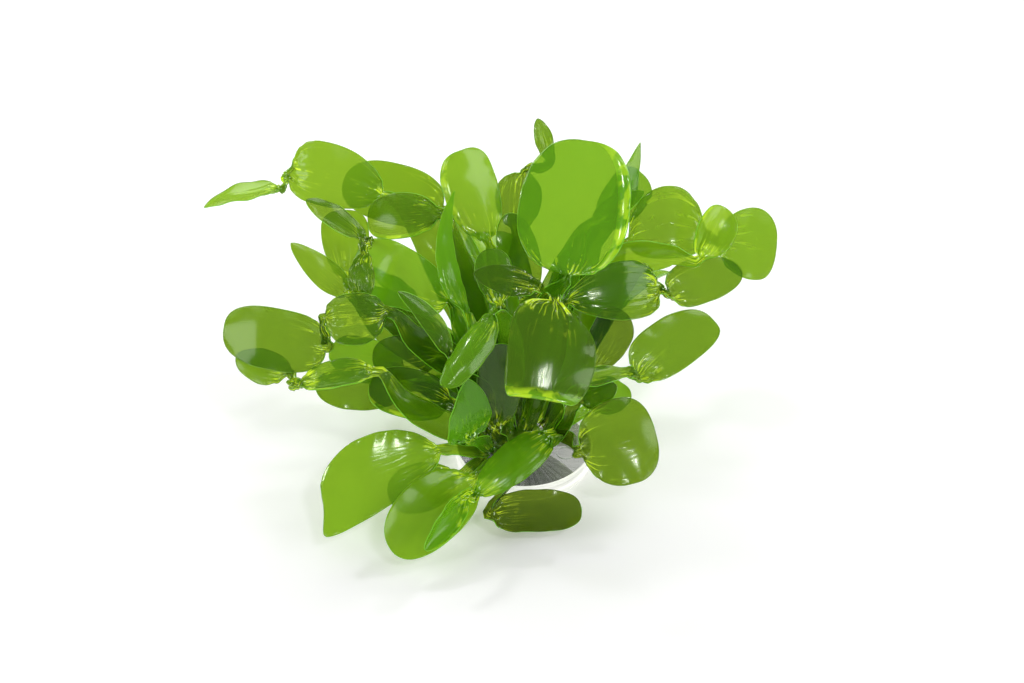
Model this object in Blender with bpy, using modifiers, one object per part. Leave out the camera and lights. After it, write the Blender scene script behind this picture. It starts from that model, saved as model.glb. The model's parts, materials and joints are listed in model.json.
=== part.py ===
"""Artificial sea lettuce: strips of clear green film, gathered in a knot on a clear base disc.

Every strip starts at the knot as a narrow stem and opens into rounded lobes with pinched necks
between them. Lengths in the tables are in millimetres, and X is right, Y is back and Z is up.
"""

import math
from typing import NamedTuple

import bmesh
import bpy
import numpy as np

MM = 0.001

DISC_RADIUS = 35.0
DISC_HEIGHT = 9.5
DISC_EDGE_ROUNDING = 0.5
DISC_SIDES = 56
TOUCH_GAP = 0.3

KNOT_CENTRE = (-4.0, -3.0, DISC_HEIGHT + TOUCH_GAP)
KNOT_RADII = (16.0, 14.0, 15.0)
KNOT_LUMPS = 0.05
LUMPS_AROUND = 5
LUMPS_UP = 4
KNOT_SEGMENTS = 20
KNOT_RINGS = 10
KNOT_CUT = 1e-4

FILM_THICKNESS = 0.6
STEM_HALF_WIDTH = 2.5
ROOT_HALF_WIDTH = 1.6
STEM_FOLD = 0.5
STEM_LEAF_SHARE = 0.084
STEM_LEAF_PLACE = 1.3
STEM_ROW_SPACING = 20.0
NECK_ROWS = 1

ACROSS = (-1.0, -0.4, 0.4, 1.0)
LOBE_ROWS = (0.07, 0.23, 0.45, 0.68, 0.88)
LAST_ROW = 0.995

FILM_GREEN = (0.28, 0.47, 0.03, 0.62)
KNOT_GREEN = (0.16, 0.30, 0.03, 0.9)
CLEAR = (0.90, 0.92, 0.92, 0.25)
PLASTIC_IOR = 1.49
SHARP_EDGE = math.radians(30)


class Lobe(NamedTuple):
    """One rounded lobe, seen with its tip up and its face towards the eye.

    Lean slants its right half towards the tip, and fan slants it more the nearer the tip is.
    """

    base: tuple
    tip: tuple
    face: tuple
    left: float
    right: float
    widest: float = 0.5
    round_base: float = 2.0
    round_tip: float = 2.2
    bend: float = 0.0
    cup: float = 0.0
    sweep: float = 0.0
    lean: float = 0.0
    fan: float = 0.0


class Frond(NamedTuple):
    """One strip of film: where it leaves the knot, what its stem passes and its lobes."""

    leaves: tuple
    stem: tuple
    lobes: tuple


FRONDS = {
    # The front, close to the disc.
    "front_left_frond": Frond(
        (-0.85, -0.6, 0.12),
        ((-26, -22, 21),),
        (
            Lobe(
                (-41, -35, 32), (-96, -60, 24), (0.1, -0.6, 0.8), 19, 20, 0.75, 1.7, 3.2, 3, 2, lean=-0.7
            ),
        ),
    ),
    "front_left_under_frond": Frond(
        (-0.8, -0.5, 0.02),
        ((-24, -24, 14),),
        (Lobe((-34, -33, 14), (-66, -46, 12), (0.1, -0.5, 0.85), 13, 12, 0.55, 2, 2.4, 2, 1),),
    ),
    "front_low_frond": Frond(
        (-0.5, -0.85, 0.1),
        ((-17, -31, 19),),
        (Lobe((-25, -43, 21), (-61, -85, 13), (0.1, -0.6, 0.8), 14, 18, 0.5, 2, 2.4, 3, 3),),
    ),
    "front_frond": Frond(
        (0, -0.97, 0.12),
        ((-6, -38, 14),),
        (Lobe((-15, -59, 13), (27, -60, 16), (0, -0.5, 0.85), 11, 10, 0.45, 3, 2.8, 2, 1),),
    ),
    "front_right_frond": Frond(
        (0.75, -0.6, 0.3),
        ((16, -15, 26),),
        (
            Lobe((12, -22, 31), (-23, -53, 20), (0, -0.5, 0.85), 9, 11, 0.45, 2.6, 1.8, 2, -2),
            Lobe((-30, -60, 25), (-46, -91, 21), (0.5, -0.6, 0.6), 6, 6, 0.4, 2, 2, 2, 3),
        ),
    ),
    "front_upright_frond": Frond(
        (-0.7, -0.7, 0.4),
        ((-22, -27, 34),),
        (Lobe((-27, -36, 42), (-27, -36, 77), (0.6, -0.75, 0.2), 15, 11, 0.28, 2.2, 1.6, 2, 2),),
    ),
    "inner_front_frond": Frond(
        (-0.3, -0.75, 0.6),
        ((-12, -20, 30),),
        (Lobe((-14, -26, 40), (-11, -20, 86), (0.1, -0.97, 0.1), 11, 11, 0.6, 2, 2.2, 2, 1),),
    ),
    # The big middle sheet and its neighbours.
    "centre_frond": Frond(
        (0.3, -0.5, 0.85),
        ((6, -13, 50), (11, -9, 95)),
        (
            Lobe(
                (13, -22, 111), (7, -64, 78), (0.1, -0.9, 0.4), 22, 19, 0.4, 2.4, 3.2, 4, -3, fan=0.4
            ),
        ),
    ),
    "centre_left_frond": Frond(
        (0, -0.3, 0.97),
        ((-4, -6, 58), (-2, -5, 98)),
        (Lobe((5, -14, 114), (-24, -10, 119), (0, -0.75, 0.65), 7, 7, 0.4, 2, 1.7, 2),),
    ),
    "centre_flap_frond": Frond(
        (-0.2, -0.45, 0.88),
        ((-8, -14, 58), (-11, -18, 98)),
        (Lobe((-15, -28, 108), (-37, -58, 90), (-0.4, -0.7, 0.6), 8, 8, 0.4, 2, 2.2, 1, -5),),
    ),
    # The right side.
    "right_low_frond": Frond(
        (0.9, -0.2, 0.5),
        ((26, -20, 27),),
        (Lobe((27, -37, 34), (63, -27, 40), (0.1, -0.75, 0.6), 20, 22, 0.55, 2.4, 2.4, 3, 2),),
    ),
    "right_frond": Frond(
        (0.75, -0.3, 0.6),
        ((18, -14, 42),),
        (
            Lobe((24, -25, 68), (50, -13, 64), (0, -0.6, 0.8), 5, 5, 0.35, 2, 1.6, 1, 1),
            Lobe(
                (56, -8, 56), (95, 21, 70), (-0.2, -0.8, 0.6), 17, 10, 0.45, 2.4, 2.6, 3, 2, lean=0.3
            ),
        ),
    ),
    "inner_right_frond": Frond(
        (0.75, 0.1, 0.7),
        ((18, -4, 42),),
        (Lobe((32, -5, 60), (45, 10, 86), (0.2, -0.9, 0.4), 9, 13, 0.6, 2, 2.2, 2, 1),),
    ),
    "upper_right_frond": Frond(
        (0.42, 0.06, 0.9),
        ((14, 3, 56), (19, 2, 84)),
        (
            Lobe((20, 6, 93), (65, 19, 91), (0, -0.75, 0.65), 15, 14, 0.6, 1.6, 3, 3, 2),
            Lobe((71, 21, 86), (109, 38, 89), (0, -0.6, 0.8), 13, 11, 0.4, 2.6, 2, 2, 1),
        ),
    ),
    "right_tip_frond": Frond(
        (0.65, 0.45, 0.6),
        ((27, 20, 50), (45, 38, 86)),
        (
            Lobe((52, 44, 101), (91, 48, 102), (0, -0.8, 0.6), 27, 10, 0.55, 2.2, 2.2, 3, 3),
            Lobe(
                (98, 53, 97), (129, 56, 94), (0.1, -0.9, 0.4), 18, 19, 0.6, 2, 2.2, 1, 2, lean=0.1
            ),
        ),
    ),
    "right_small_frond": Frond(
        (0.65, 0.3, 0.8),
        ((24, 11, 57), (48, 31, 98), (71, 32, 103)),
        (Lobe((86, 29, 103), (97, 42, 124), (0.1, -0.85, 0.5), 9, 11, 0.55, 2, 2.2, 2, 3),),
    ),
    "right_inner_frond": Frond(
        (0.9, -0.4, 0.35),
        ((21, -14, 34),),
        (Lobe((27, -13, 46), (45, -11, 54), (0.1, -0.75, 0.6), 8, 7, 0.4, 2, 1.8, 1, 1),),
    ),
    # The top.
    "top_frond": Frond(
        (0.15, -0.1, 0.98),
        ((5, 2, 60), (13, 4, 98)),
        (Lobe((20, 0, 111), (31, 78, 141), (0, -0.7, 0.7), 28, 27, 0.4, 2.5, 2.2, 3, 3),),
    ),
    "top_blade_frond": Frond(
        (0.2, 0.32, 0.93),
        ((12, 19, 64), (24, 31, 100)),
        (Lobe((34, 40, 117), (59, 51, 127), (-0.1, -0.6, 0.8), 6, 6, 0.45, 2, 1.5, 1, 1),),
    ),
    "top_spike_frond": Frond(
        (0.28, 0.55, 0.8),
        ((15, 28, 62), (31, 44, 102)),
        (Lobe((48, 54, 115), (58, 74, 142), (0.5, -0.75, 0.4), 7.5, 6, 0.25, 2, 1.2, 1),),
    ),
    "top_back_right_frond": Frond(
        (0.3, 0.7, 0.65),
        ((14, 34, 54), (26, 56, 88)),
        (Lobe((38, 66, 98), (62, 92, 114), (0.1, -0.9, 0.4), 12, 12, 0.6, 2, 2.4, 2, 2),),
    ),
    "top_back_frond": Frond(
        (0, 0.6, 0.8),
        ((-2, 32, 56),),
        (
            Lobe((-3, 68, 94), (-1, 90, 115), (0, -0.9, 0.4), 13, 11, 0.55, 2, 2.4, 2, 2),
            Lobe((13, 94, 122), (7, 102, 141), (0.2, -0.9, 0.4), 5, 5, 0.5, 2, 1.6, 1),
        ),
    ),
    # The upper left.
    "upper_middle_frond": Frond(
        (-0.12, 0.4, 0.92),
        ((-7, 17, 58), (-12, 37, 86)),
        (Lobe((-18, 50, 100), (-32, 77, 136), (-0.2, -0.9, 0.3), 14, 15, 0.55, 2, 2.8, 3, 3),),
    ),
    "upper_small_frond": Frond(
        (0.02, 0.14, 0.98),
        ((-3, 12, 66),),
        (Lobe((1, 20, 84), (-8, 42, 120), (0.1, -0.9, 0.4), 10, 11, 0.45, 2, 2.2, 1, 1),),
    ),
    "upper_front_frond": Frond(
        (-0.14, 0.06, 0.98),
        ((-8, 2, 60),),
        (Lobe((-12, 1, 94), (-17, 22, 112), (0, -0.8, 0.6), 9, 9, 0.55, 2, 2.2, 2, 2),),
    ),
    "upper_left_frond": Frond(
        (-0.45, 0.45, 0.78),
        ((-28, 34, 66), (-48, 58, 98)),
        (
            Lobe((-72, 67, 116), (-119, 77, 123), (0.1, -0.9, 0.4), 12, 20, 0.6, 2, 3, 3, 3),
            Lobe((-125, 77, 113), (-165, 73, 105), (0, 0.12, 0.99), 12, 12, 0.45, 2, 1.6, 2, 2),
        ),
    ),
    "upper_left_back_frond": Frond(
        (-0.3, 0.65, 0.7),
        ((-22, 52, 56), (-36, 84, 84)),
        (Lobe((-43, 92, 93), (-96, 99, 104), (-0.1, -0.9, 0.45), 14, 18, 0.5, 2.6, 2.4, 3, 2),),
    ),
    "upper_left_inner_frond": Frond(
        (-0.38, 0.32, 0.87),
        ((-24, 25, 63), (-36, 42, 96)),
        (Lobe((-43, 52, 114), (-79, 56, 107), (0.1, -0.8, 0.6), 12, 12, 0.5, 2, 2.4, 2, 3),),
    ),
    "upper_blade_frond": Frond(
        (-0.3, -0.1, 0.95),
        ((-16, -4, 50), (-24, -12, 82)),
        (
            Lobe(
                (-28, -10, 96), (-34, 36, 136), (0.5, -0.7, 0.5), 6, 6, 0.3, 2, 1.3, 1, -1, sweep=-8
            ),
        ),
    ),
    # The left side.
    "left_strap_frond": Frond(
        (-0.6, 0.25, 0.75),
        ((-34, 9, 56), (-62, 6, 82)),
        (
            Lobe((-78, 3, 96), (-78, 18, 111), (0.1, -0.75, 0.6), 7, 6, 0.45, 2, 2, 1, 1),
            Lobe((-79, 38, 107), (-110, 62, 116), (0.1, -0.6, 0.8), 6, 6, 0.5, 2, 1.6, 2, 2),
        ),
    ),
    "left_middle_frond": Frond(
        (-0.45, 0, 0.9),
        ((-22, 4, 54), (-32, 8, 78)),
        (Lobe((-37, 11, 88), (-83, 33, 102), (0, -0.85, 0.5), 16, 15, 0.6, 2.2, 2.4, 2, 2),),
    ),
    "left_back_frond": Frond(
        (-0.65, 0.5, 0.55),
        ((-44, 36, 44), (-74, 50, 62)),
        (Lobe((-92, 54, 74), (-97, 80, 99), (0, -0.8, 0.6), 10, 15, 0.65, 2, 2.4, 2, 1),),
    ),
    "left_point_frond": Frond(
        (-0.8, 0.25, 0.55),
        ((-44, 18, 46), (-72, 28, 62)),
        (Lobe((-88, 36, 76), (-119, 56, 94), (0.1, -0.8, 0.6), 8, 7, 0.35, 2, 1.5, 2, 2),),
    ),
    "left_long_frond": Frond(
        (-0.8, -0.2, 0.6),
        ((-30, -5, 56), (-54, -7, 80)),
        (
            Lobe((-66, -4, 93), (-95, -4, 90), (0, -0.75, 0.65), 15, 10, 0.45, 2, 2.6, 2, 2),
            Lobe((-95.5, -8.5, 75), (-147, 5, 77), (0, -0.85, 0.5), 15, 15, 0.5, 3, 2.4, 3, 2),
        ),
    ),
    "left_under_frond": Frond(
        (-0.8, -0.45, 0.45),
        ((-34, -28, 38), (-58, -34, 60)),
        (
            Lobe((-71, -27, 74), (-105, -28, 67), (0, -0.4, 0.92), 6, 10, 0.5, 2, 2.4, 1, 1),
            Lobe((-115, -9, 59), (-142, 4, 62), (0, -0.4, 0.92), 10, 9, 0.4, 1.8, 2, 1, -2),
        ),
    ),
    "left_low_frond": Frond(
        (-0.95, 0.05, 0.25),
        ((-34, -2, 34),),
        (Lobe((-57, -3, 48), (-103, -7, 51), (0, -0.85, 0.5), 12, 10, 0.5, 2, 2.2, 2, 2),),
    ),
    "left_inner_frond": Frond(
        (-0.95, -0.15, 0.12),
        ((-26, -12, 30),),
        (Lobe((-37, -20, 50), (-75, -18, 59), (0, -0.8, 0.6), 12, 13, 0.45, 2.2, 2.6, 2, 1),),
    ),
    "left_dark_frond": Frond(
        (-0.87, -0.02, 0.45),
        ((-28, -3, 42),),
        (Lobe((-43, -2, 66), (-74, -6, 67), (0, -0.85, 0.5), 11, 11, 0.5, 2, 2.4, 2, 1),),
    ),
    "left_curved_frond": Frond(
        (-0.5, -0.25, 0.85),
        ((-22, -14, 56),),
        (
            Lobe(
                (-34, -28, 84), (-60, -3, 104), (-0.2, -0.8, 0.6), 5, 5, 0.4, 2, 1.6, 3, 2, sweep=4
            ),
        ),
    ),
    # The back, which rounds the plant off.
    "back_left_frond": Frond(
        (-0.5, 0.75, 0.5),
        (),
        (
            Lobe((-24, 26, 28), (-50, 56, 44), (0.3, 0.5, 0.8), 11, 11, 0.55, 2, 2, 3, 3),
            Lobe((-58, 64, 48), (-92, 88, 58), (0.3, 0.4, 0.85), 14, 15, 0.5, 2, 2.4, 3, 2),
        ),
    ),
    "back_low_left_frond": Frond(
        (-0.85, 0.45, 0.2),
        (),
        (
            Lobe((-28, 14, 16), (-56, 32, 24), (0.1, -0.1, 0.99), 10, 11, 0.5, 2, 2, 2, 2),
            Lobe((-64, 36, 27), (-102, 48, 34), (0.1, -0.3, 0.95), 14, 14, 0.5, 2, 2.4, -3, 2),
        ),
    ),
    "back_frond": Frond(
        (-0.1, 0.85, 0.5),
        (),
        (
            Lobe((-7, 32, 30), (-12, 66, 52), (0, 0.5, 0.85), 12, 12, 0.55, 2, 2, 3, 3),
            Lobe((-14, 76, 56), (-20, 112, 66), (0, 0.4, 0.9), 15, 15, 0.5, 2, 2.4, 3, 3),
        ),
    ),
    "back_low_frond": Frond(
        (0.1, 0.97, 0.1),
        (),
        (
            Lobe((2, 28, 13), (8, 58, 20), (0, 0.1, 0.99), 11, 11, 0.5, 2, 2, 2, 2),
            Lobe((10, 66, 22), (16, 102, 20), (0, 0.2, 0.95), 15, 14, 0.5, 2, 2.4, -3, 2),
        ),
    ),
    "back_right_frond": Frond(
        (0.5, 0.75, 0.45),
        (),
        (
            Lobe((18, 28, 24), (42, 54, 44), (-0.3, 0.5, 0.8), 11, 11, 0.55, 2, 2, 3, 3),
            Lobe((50, 62, 48), (80, 84, 58), (-0.3, 0.4, 0.85), 14, 14, 0.5, 2, 2.4, 3, 3),
        ),
    ),
    "back_low_right_frond": Frond(
        (0.9, 0.4, 0.15),
        ((24, 8, 16),),
        (Lobe((34, 16, 17), (52, 38, 18), (0.1, -0.2, 0.95), 12, 12, 0.55, 2, 2.4, -2, 2),),
    ),
}


def unit(vector):
    """The vector at length one."""
    vector = np.asarray(vector, float)
    return vector / np.linalg.norm(vector)


def turned(vector, before, after):
    """The vector after the smallest turn that takes one direction to the other."""
    axis = np.cross(before, after)
    cosine = before @ after
    return vector * cosine + np.cross(axis, vector) + axis * (axis @ vector) / (1 + cosine)


def clear_scene():
    """Removes what the startup file holds."""
    for obj in list(bpy.data.objects):
        bpy.data.objects.remove(obj)


def new_collection(name):
    """A collection in the scene, for the parts."""
    collection = bpy.data.collections.new(name)
    bpy.context.scene.collection.children.link(collection)
    return collection


def make_material(name, colour, roughness, transmission):
    """A see-through plastic: the colour's last number is how much it hides."""
    material = bpy.data.materials.new(name)
    material.use_nodes = True
    material.diffuse_color = colour
    shader = material.node_tree.nodes["Principled BSDF"]
    shader.inputs["Base Color"].default_value = (*colour[:3], 1.0)
    shader.inputs["Roughness"].default_value = roughness
    shader.inputs["Metallic"].default_value = 0.0
    shader.inputs["IOR"].default_value = PLASTIC_IOR
    shader.inputs["Transmission Weight"].default_value = transmission
    return material


def film_material(name):
    """Glossy green film."""
    return make_material(name, FILM_GREEN, 0.16, 0.35)


def knot_material(name):
    """Film ends melted and glued together."""
    return make_material(name, KNOT_GREEN, 0.3, 0.1)


def clear_material(name):
    """Clear acrylic."""
    return make_material(name, CLEAR, 0.05, 1.0)


def superellipse(u, lobe):
    """The share of a lobe's full width at u, from 0 at its base to 1 at its tip."""
    if u < lobe.widest:
        away, power = (lobe.widest - u) / lobe.widest, lobe.round_base
    else:
        away, power = (u - lobe.widest) / (1 - lobe.widest), lobe.round_tip
    return max(0.0, 1 - away**power) ** (1 / power)


def lobe_frame(lobe):
    """A lobe's direction, its right side and its face, square to each other."""
    along = unit(np.subtract(lobe.tip, lobe.base))
    face = np.asarray(lobe.face, float)
    face = unit(face - along * (face @ along))
    return along, np.cross(along, face), face


def lobe_row(lobe, u):
    """The points across a lobe at u."""
    along, side, face = lobe_frame(lobe)
    length = np.linalg.norm(np.subtract(lobe.tip, lobe.base))
    hump = 4 * u * (1 - u)
    middle = lobe.base + along * length * u + face * lobe.bend * hump + side * lobe.sweep * hump
    share = superellipse(u, lobe)
    lean = (lobe.lean + lobe.fan * (2 * u - 1)) * share
    row = []
    for across in ACROSS:
        half = lobe.right if across > 0 else lobe.left
        half = max(half * share, STEM_HALF_WIDTH)
        fold = STEM_FOLD * STEM_HALF_WIDTH * (1 - share) ** 2
        out = (side + along * lean) * across * half
        row.append(middle + out + face * (lobe.cup * share + fold) * across**2)
    return row


def ribbon_row(middle, along, face, half=STEM_HALF_WIDTH):
    """The points across a stem or a neck, which is a narrow folded ribbon."""
    face = unit(face - along * (face @ along))
    side = np.cross(along, face)
    return [middle + half * (side * across + face * STEM_FOLD * across**2) for across in ACROSS]


def hermite(start, start_slope, end, end_slope, u):
    """The point and the slope at u on the smooth curve between two ends."""
    point = (
        (2 * u**3 - 3 * u**2 + 1) * start
        + (u**3 - 2 * u**2 + u) * start_slope
        + (3 * u**2 - 2 * u**3) * end
        + (u**3 - u**2) * end_slope
    )
    slope = (
        (6 * u**2 - 6 * u) * start
        + (3 * u**2 - 4 * u + 1) * start_slope
        + (6 * u - 6 * u**2) * end
        + (3 * u**2 - 2 * u) * end_slope
    )
    return point, unit(slope)


def lobe_end(lobe, u):
    """Where a lobe starts (u is 0) or ends (u is 1), with its slope and its face there."""
    along, side, face = lobe_frame(lobe)
    hump_slope = 4 * (1 - 2 * u)
    length = np.linalg.norm(np.subtract(lobe.tip, lobe.base))
    slope = along * length + (face * lobe.bend + side * lobe.sweep) * hump_slope
    return np.asarray(lobe.tip if u else lobe.base, float), unit(slope), face


def joining_frames(start, end, count):
    """The frames between two ends, each a point, a slope and a face."""
    gap = np.linalg.norm(end[0] - start[0])
    frames = []
    for step in range(1, count + 1):
        u = step / (count + 1)
        point, slope = hermite(start[0], start[1] * gap, end[0], end[1] * gap, u)
        face = turned(start[2], start[1], slope) * (1 - u) + turned(end[2], end[1], slope) * u
        frames.append((point, slope, face))
    return frames


def stem_knots(frond):
    """The points that a stem passes, each with a slope and a face."""
    direction = unit(frond.leaves)
    start = np.asarray(KNOT_CENTRE) + direction * (np.asarray(KNOT_RADII) * (1 + KNOT_LUMPS))
    start = start + direction * TOUCH_GAP
    first = lobe_end(frond.lobes[0], 0)
    points = [start, *(np.asarray(point, float) for point in frond.stem), first[0]]
    slopes = [direction, *(unit(after - before) for before, after in zip(points, points[2:]))]
    knots = [first]
    for point, slope in zip(points[-2::-1], slopes[::-1]):
        knots.append((point, slope, turned(knots[-1][2], knots[-1][1], slope)))
    return knots[::-1]


def stem_rows(frond):
    """The rows of a stem: narrow at the knot, a slim leaf on the way, narrow at the first lobe."""
    knots = stem_knots(frond)
    frames = [knots[0]]
    for start, end in zip(knots, knots[1:]):
        count = int(np.linalg.norm(end[0] - start[0]) / STEM_ROW_SPACING)
        frames += [*joining_frames(start, end, count), end]
    steps = [np.linalg.norm(here[0] - before[0]) for before, here in zip(frames, frames[1:])]
    gone = np.concatenate([[0.0], np.cumsum(steps)])
    rows = []
    for frame, distance in zip(frames[:-1], gone):
        place = (distance / gone[-1]) ** STEM_LEAF_PLACE
        leaf = STEM_LEAF_SHARE * gone[-1] * math.sin(math.pi * place)
        least = STEM_HALF_WIDTH if distance else ROOT_HALF_WIDTH
        rows.append(ribbon_row(*frame, max(leaf, least)))
    return rows


def frond_rows(frond):
    """All rows of one strip, from the knot to the last lobe's tip."""
    rows = stem_rows(frond)
    for number, lobe in enumerate(frond.lobes):
        if number:
            ends = lobe_end(frond.lobes[number - 1], 1), lobe_end(lobe, 0)
            rows += [ribbon_row(*frame) for frame in joining_frames(*ends, NECK_ROWS)]
        rows += [lobe_row(lobe, u) for u in LOBE_ROWS]
    rows.append(lobe_row(frond.lobes[-1], LAST_ROW))
    return rows


def sheet_mesh(name, rows):
    """An open sheet through the rows of points."""
    width = len(rows[0])
    points = [tuple(point * MM) for row in rows for point in row]
    faces = [
        (first + step, first + step + width, first + step + width + 1, first + step + 1)
        for first in range(0, (len(rows) - 1) * width, width)
        for step in range(width - 1)
    ]
    mesh = bpy.data.meshes.new(name)
    mesh.from_pydata(points, [], faces)
    return mesh


def make_frond(name, frond, collection):
    """One strip of film: an open sheet, thickened."""
    obj = bpy.data.objects.new(name, sheet_mesh(name, frond_rows(frond)))
    collection.objects.link(obj)
    obj.data.shade_smooth()
    thick = obj.modifiers.new("film", "SOLIDIFY")
    thick.thickness = FILM_THICKNESS * MM
    thick.offset = 0.0
    obj.data.materials.append(film_material(name + "_film"))
    return obj


def make_disc(collection):
    """The base: a flat round disc with its edges just broken."""
    bpy.ops.mesh.primitive_cylinder_add(
        vertices=DISC_SIDES,
        radius=DISC_RADIUS * MM,
        depth=DISC_HEIGHT * MM,
        location=(0, 0, DISC_HEIGHT * MM / 2),
    )
    disc = bpy.context.object
    disc.name = disc.data.name = "base_disc"
    bevel = disc.modifiers.new("broken_edges", "BEVEL")
    bevel.width = DISC_EDGE_ROUNDING * MM
    bevel.segments = 1
    disc.data.shade_smooth()
    disc.data.set_sharp_from_angle(angle=SHARP_EDGE)
    disc.data.materials.append(clear_material("clear_acrylic"))
    move_to(disc, collection)
    return disc


def make_knot(collection):
    """The gathered ends: the upper half of a lumpy ball, flat below."""
    bpy.ops.mesh.primitive_uv_sphere_add(
        segments=KNOT_SEGMENTS,
        ring_count=KNOT_RINGS,
        radius=1.0,
        location=np.multiply(KNOT_CENTRE, MM),
    )
    knot = bpy.context.object
    knot.name = knot.data.name = "root_knot"
    for vertex in knot.data.vertices:
        around = math.atan2(vertex.co.y, vertex.co.x)
        wave = math.sin(LUMPS_AROUND * around) * math.cos(LUMPS_UP * vertex.co.z)
        lump = 1 + KNOT_LUMPS * wave
        for axis, radius in enumerate(KNOT_RADII):
            vertex.co[axis] *= radius * lump * MM
        vertex.co.z = max(vertex.co.z, 0.0)
    flatten_base(knot)
    knot.data.shade_smooth()
    knot.data.materials.append(knot_material("melted_film"))
    move_to(knot, collection)
    return knot


def flatten_base(knot):
    """Takes the lower half away and closes the ball with one flat face."""
    ball = bmesh.new()
    ball.from_mesh(knot.data)
    cut = bmesh.ops.bisect_plane(
        ball,
        geom=[*ball.verts, *ball.edges, *ball.faces],
        plane_co=(0, 0, KNOT_CUT * MM),
        plane_no=(0, 0, -1),
        clear_outer=True,
    )
    rim = [item for item in cut["geom_cut"] if isinstance(item, bmesh.types.BMEdge)]
    bmesh.ops.contextual_create(ball, geom=rim)
    ball.to_mesh(knot.data)
    ball.free()


def move_to(obj, collection):
    """Puts an object in this collection only."""
    for old in list(obj.users_collection):
        old.objects.unlink(obj)
    collection.objects.link(obj)


def main():
    clear_scene()
    collection = new_collection("artificial_sea_lettuce")
    make_disc(collection)
    make_knot(collection)
    for name, frond in FRONDS.items():
        make_frond(name, frond, collection)


main()
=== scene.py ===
"""Artificial sea lettuce: the fine film, the base and the light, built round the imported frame.

Every strip of film repeats the table of stems and lobes that its solid is made from, with many
more rows, and adds the pleats, ripples and rolled edges of the real film. Lengths in the table are
in millimetres, X is right, Y is back and Z is up.
"""

import json
import math
from typing import NamedTuple

import bmesh
import bpy
import numpy as np
from bpy.props import FloatProperty, FloatVectorProperty, IntProperty, PointerProperty
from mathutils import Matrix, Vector, noise

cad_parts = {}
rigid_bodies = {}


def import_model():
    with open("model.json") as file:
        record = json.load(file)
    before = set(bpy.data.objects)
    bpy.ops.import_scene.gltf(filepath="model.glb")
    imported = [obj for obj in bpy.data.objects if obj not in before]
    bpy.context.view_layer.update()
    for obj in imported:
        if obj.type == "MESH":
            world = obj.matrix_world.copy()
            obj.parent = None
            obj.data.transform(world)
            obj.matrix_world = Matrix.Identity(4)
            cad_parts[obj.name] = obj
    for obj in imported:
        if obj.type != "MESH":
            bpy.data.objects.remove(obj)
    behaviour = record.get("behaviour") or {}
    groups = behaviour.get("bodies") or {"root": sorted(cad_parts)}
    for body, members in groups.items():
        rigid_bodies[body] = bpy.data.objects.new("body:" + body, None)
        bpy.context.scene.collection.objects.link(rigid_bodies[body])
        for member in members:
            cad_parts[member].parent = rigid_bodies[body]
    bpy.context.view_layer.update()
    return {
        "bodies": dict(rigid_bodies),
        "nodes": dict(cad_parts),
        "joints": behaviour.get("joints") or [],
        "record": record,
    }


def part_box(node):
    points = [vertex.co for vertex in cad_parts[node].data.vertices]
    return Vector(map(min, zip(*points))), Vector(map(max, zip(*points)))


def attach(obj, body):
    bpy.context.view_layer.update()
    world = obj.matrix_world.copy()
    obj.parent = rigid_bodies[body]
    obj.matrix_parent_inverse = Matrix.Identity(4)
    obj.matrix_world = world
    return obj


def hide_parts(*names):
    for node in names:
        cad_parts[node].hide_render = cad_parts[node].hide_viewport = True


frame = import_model()

bl_info = {
    "name": "Artificial Sea Lettuce",
    "version": (1, 0, 0),
    "blender": (4, 5, 0),
    "location": "3D View > Sidebar > Sea Lettuce",
    "description": "Builds an aquarium plant of clear green film on a clear base disc",
    "category": "Add Mesh",
}

MM = 0.001
BODY = "root"
DISC_LOW, DISC_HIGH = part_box("base_disc")

# The places, in millimetres, and the shares that the solids have too.
TOUCH_GAP = 0.3
KNOT_CENTRE = (-4.0, -3.0, 9.8)
KNOT_RADII = (16.0, 14.0, 15.0)
KNOT_LUMPS = 0.05
STEM_HALF_WIDTH = 2.5
ROOT_HALF_WIDTH = 1.6
ROOT_LENGTH = 8
STEM_FOLD = 0.5
STEM_LEAF_SHARE = 0.084
STEM_LEAF_PLACE = 1.3
TIP_HALF_WIDTH = 0.25

# How finely a strip is drawn: millimetres from row to row, and rows in a lobe.
STEM_ROW = 3.2
NECK_ROW = 1.1
LOBE_ROWS = 34

# How a strip is pleated, waved, rolled and crumpled. Reaches, lengths and cells are in
# millimetres, and places and widths across are shares of the way from the middle to an edge.
PLEATS = 9
PLEAT_PLACES = (-0.95, 0.95)
PLEAT_WIDTHS = (0.08, 0.2)
PLEAT_REACHES = (2.5, 8.0)
ZIGZAGS = (2.5, 3.5)
ZIGZAG_SHARE = 0.9
ZIGZAG_REACH = 3.2
WAVES = 4
WAVE_LENGTHS = (18, 45)
EDGE_WAVE_LENGTHS = (11, 17)
EDGE_WAVE_SHARE = 0.8
ROLL_START = 0.72
ROLL_CREASE = 0.08
FULL_FOLD = 90
TIP_ROLL_START = 0.79
TIP_CREASE = 1.5
CRUMPLE_REACH = 4.0
CRUMPLE_CELL = 3.8
LEAST_CRUMPLE = 0.02
SIDE_CRUMPLE = 1.1
COARSE_CRUMPLE = 2.0
FINE_CRUMPLE = 0.8
FINE_CELLS = 2.1
CELL_MIDDLE = 0.45

# How the film looks: fades and scales are per metre, and the rim is in metres. The fades and the
# crease, patch and spark scales place the painted glints, glow and sparks near the necks.
PLASTIC_IOR = 1.49
BLACK = (0.0, 0.0, 0.0, 1.0)
PAINTED_SPARK = (0.85, 0.95, 0.8, 1.0)
NEAR_FADE = 190.0
FAR_FADE = 60.0
CREASES_ACROSS = 5.0
CREASES_ALONG = 30.0
CREASE_SHARPNESS = 26.0
PATCH_SCALE = 150.0
SPARK_SCALE = 640.0
MOTTLE_SCALE = 24.0
WAVE_SCALE = 70.0
RIM_WIDTH = 0.0005

# The parts of the disc, the glue ring and the knot.
# The underside of the disc carries painted shade and light.
POLISHED, SAWN, PAINTED_UNDERSIDE = range(3)
DISC_STEPS = 160
RING_THICKNESS = 0.00022
RING_RISE = 0.6
RING_FLATNESS = 0.7

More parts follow.
